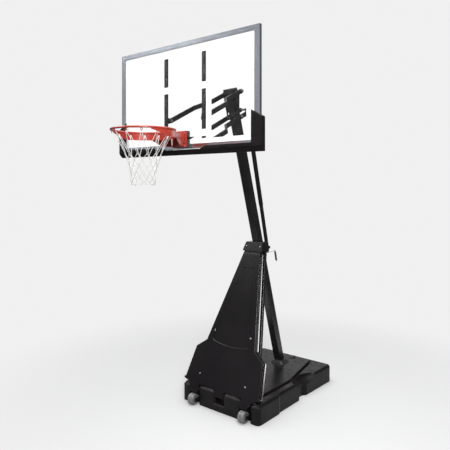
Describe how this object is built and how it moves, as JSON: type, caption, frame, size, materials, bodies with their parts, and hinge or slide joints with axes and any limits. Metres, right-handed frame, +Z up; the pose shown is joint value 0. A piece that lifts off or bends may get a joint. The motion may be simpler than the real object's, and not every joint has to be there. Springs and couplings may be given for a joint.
{
  "type": "portable basketball hoop",
  "caption": "Free-standing basketball hoop with a filled rolling base, leaning pole, crank-driven four-bar lift, framed clear backboard and sprung rim with a net.",
  "frame": {"origin": "on the floor, at the centre of the tank's footprint", "axes": "+X to the hoop's left-hand side as seen by someone standing behind it facing the court, across the board; +Y from the board back to the rear of the base; +Z up"},
  "size_m": [1.57, 2.385, 3.142],
  "materials": {
    "tank_plastic": "moulded, lightly textured",
    "shroud_plastic": "satin gloss",
    "dark_plastic": "fine grain",
    "cap_plastic": "moulded",
    "water": "filled, hidden",
    "black_steel": "gloss powder coat",
    "zinc_steel": "zinc plated",
    "chrome_steel": "bright plated",
    "frame_aluminium": "brushed anodised",
    "acrylic": "clear polished",
    "white_print": "screen-printed ink",
    "pad_foam": "soft moulded skin",
    "rim_paint": "orange-red powder coat",
    "wheel_plastic": "moulded",
    "grip_plastic": "smooth",
    "net_cord": "white braided"
  },
  "bodies": {
    "stand": {"base_tank": "tank_plastic", "water_ballast": "water", "pole_boot": "dark_plastic", "pole_lower": "black_steel", "pole_middle": "black_steel", "pole_upper": "black_steel", "pole_cap": "dark_plastic", "head_plate_left": "black_steel", "head_plate_right": "black_steel", "head_spacers": "black_steel", "front_strut_left": "black_steel", "front_strut_right": "black_steel", "strut_feet": "black_steel", "strut_clamp": "black_steel", "cross_brace_upper": "black_steel", "cross_brace_lower": "black_steel", "front_shroud": "shroud_plastic", "shroud_collar": "shroud_plastic", "shroud_bolts": "zinc_steel", "jack_bracket": "black_steel", "wheel_axles": "black_steel"},
    "fill_cap": {"fill_cap": "cap_plastic"},
    "wheel_left": {"wheel_left": "wheel_plastic"},
    "wheel_right": {"wheel_right": "wheel_plastic"},
    "upper_arms": {"upper_arm_left": "black_steel", "upper_arm_right": "black_steel", "upper_pivot_pin": "zinc_steel"},
    "lower_arms": {"lower_arm_left": "black_steel", "lower_arm_right": "black_steel", "lower_pivot_pin": "zinc_steel", "tail_bolts": "zinc_steel"},
    "board": {"backboard_panel": "acrylic", "frame_left": "frame_aluminium", "frame_right": "frame_aluminium", "frame_top": "frame_aluminium", "frame_bottom": "frame_aluminium", "board_tube_left": "black_steel", "board_tube_right": "black_steel", "board_lugs": "black_steel", "board_bolts": "zinc_steel", "mount_rail_lower": "black_steel", "mount_rail_upper": "black_steel", "corner_pad_left": "pad_foam", "corner_pad_right": "pad_foam", "edge_pad": "pad_foam", "rim_spacer": "black_steel", "rim_housing": "rim_paint", "rim_bolts": "zinc_steel", "board_print": "white_print"},
    "rim": {"rim_ring": "rim_paint", "rim_brace": "rim_paint", "rim_bracket": "rim_paint", "net_hooks": "rim_paint", "net": "net_cord"},
    "jack_lower": {"jack_lower_tube": "black_steel", "jack_ferrule": "chrome_steel"},
    "jack_upper": {"jack_sleeve": "black_steel", "jack_tee": "black_steel"},
    "crank": {"crank": "chrome_steel"},
    "crank_grip": {"crank_grip": "grip_plastic"}
  },
  "joints": [
    {"name": "lift", "type": "hinge", "parent": "stand", "child": "upper_arms", "pos_m": [0, -0.4144, 2.832], "axis": [-1, 0, 0], "range_deg": [-10.8, 55.6]},
    {"name": "lower_arm_pivot", "type": "hinge", "parent": "stand", "child": "lower_arms", "pos_m": [0, -0.4144, 2.602], "axis": [-1, 0, 0], "range_deg": [-11, 55.8]},
    {"name": "board_pivot", "type": "hinge", "parent": "upper_arms", "child": "board", "pos_m": [0, -1.03925, 2.52318], "axis": [1, 0, 0], "range_deg": [-11, 55.8]},
    {"name": "rim_breakaway", "type": "hinge", "parent": "board", "child": "rim", "pos_m": [0, -1.1324, 2.298], "axis": [1, 0, 0], "range_deg": [0, 25], "stiffness_Nm_per_rad": 700, "springref_deg": -17.19},
    {"name": "jack_swing", "type": "hinge", "parent": "stand", "child": "jack_lower", "pos_m": [0, 0.1073, 1.374], "axis": [1, 0, 0], "range_deg": [-0.4, 1.8]},
    {"name": "jack_slide", "type": "slide", "parent": "jack_lower", "child": "jack_upper", "axis": [0, -0.2399, 0.9708], "range_m": [-0.1955, 0.0385]},
    {"name": "crank_turn", "type": "hinge", "parent": "jack_lower", "child": "crank", "pos_m": [0, 0.11929, 1.32546], "axis": [0, -0.2399, 0.9708], "continuous": true},
    {"name": "grip_spin", "type": "hinge", "parent": "crank", "child": "crank_grip", "pos_m": [0.05091, 0.18071, 1.28913], "axis": [0, -0.2399, 0.9708], "continuous": true},
    {"name": "wheel_left_spin", "type": "hinge", "parent": "stand", "child": "wheel_left", "pos_m": [-0.285, -0.655, 0.0485], "axis": [1, 0, 0], "continuous": true},
    {"name": "wheel_right_spin", "type": "hinge", "parent": "stand", "child": "wheel_right", "pos_m": [0.285, -0.655, 0.0485], "axis": [1, 0, 0], "continuous": true},
    {"name": "fill_cap_lift", "type": "slide", "parent": "stand", "child": "fill_cap", "axis": [0, 0, 1], "range_m": [0, 0.03]}
  ],
  "couplings": [
    {"joint": "lower_arm_pivot", "follows": "lift", "ratio": 1},
    {"joint": "board_pivot", "follows": "lift", "ratio": 1},
    {"joint": "jack_swing", "follows": "lift", "ratio": 0.03},
    {"joint": "jack_slide", "follows": "lift", "m_per_rad": -0.201}
  ]
}
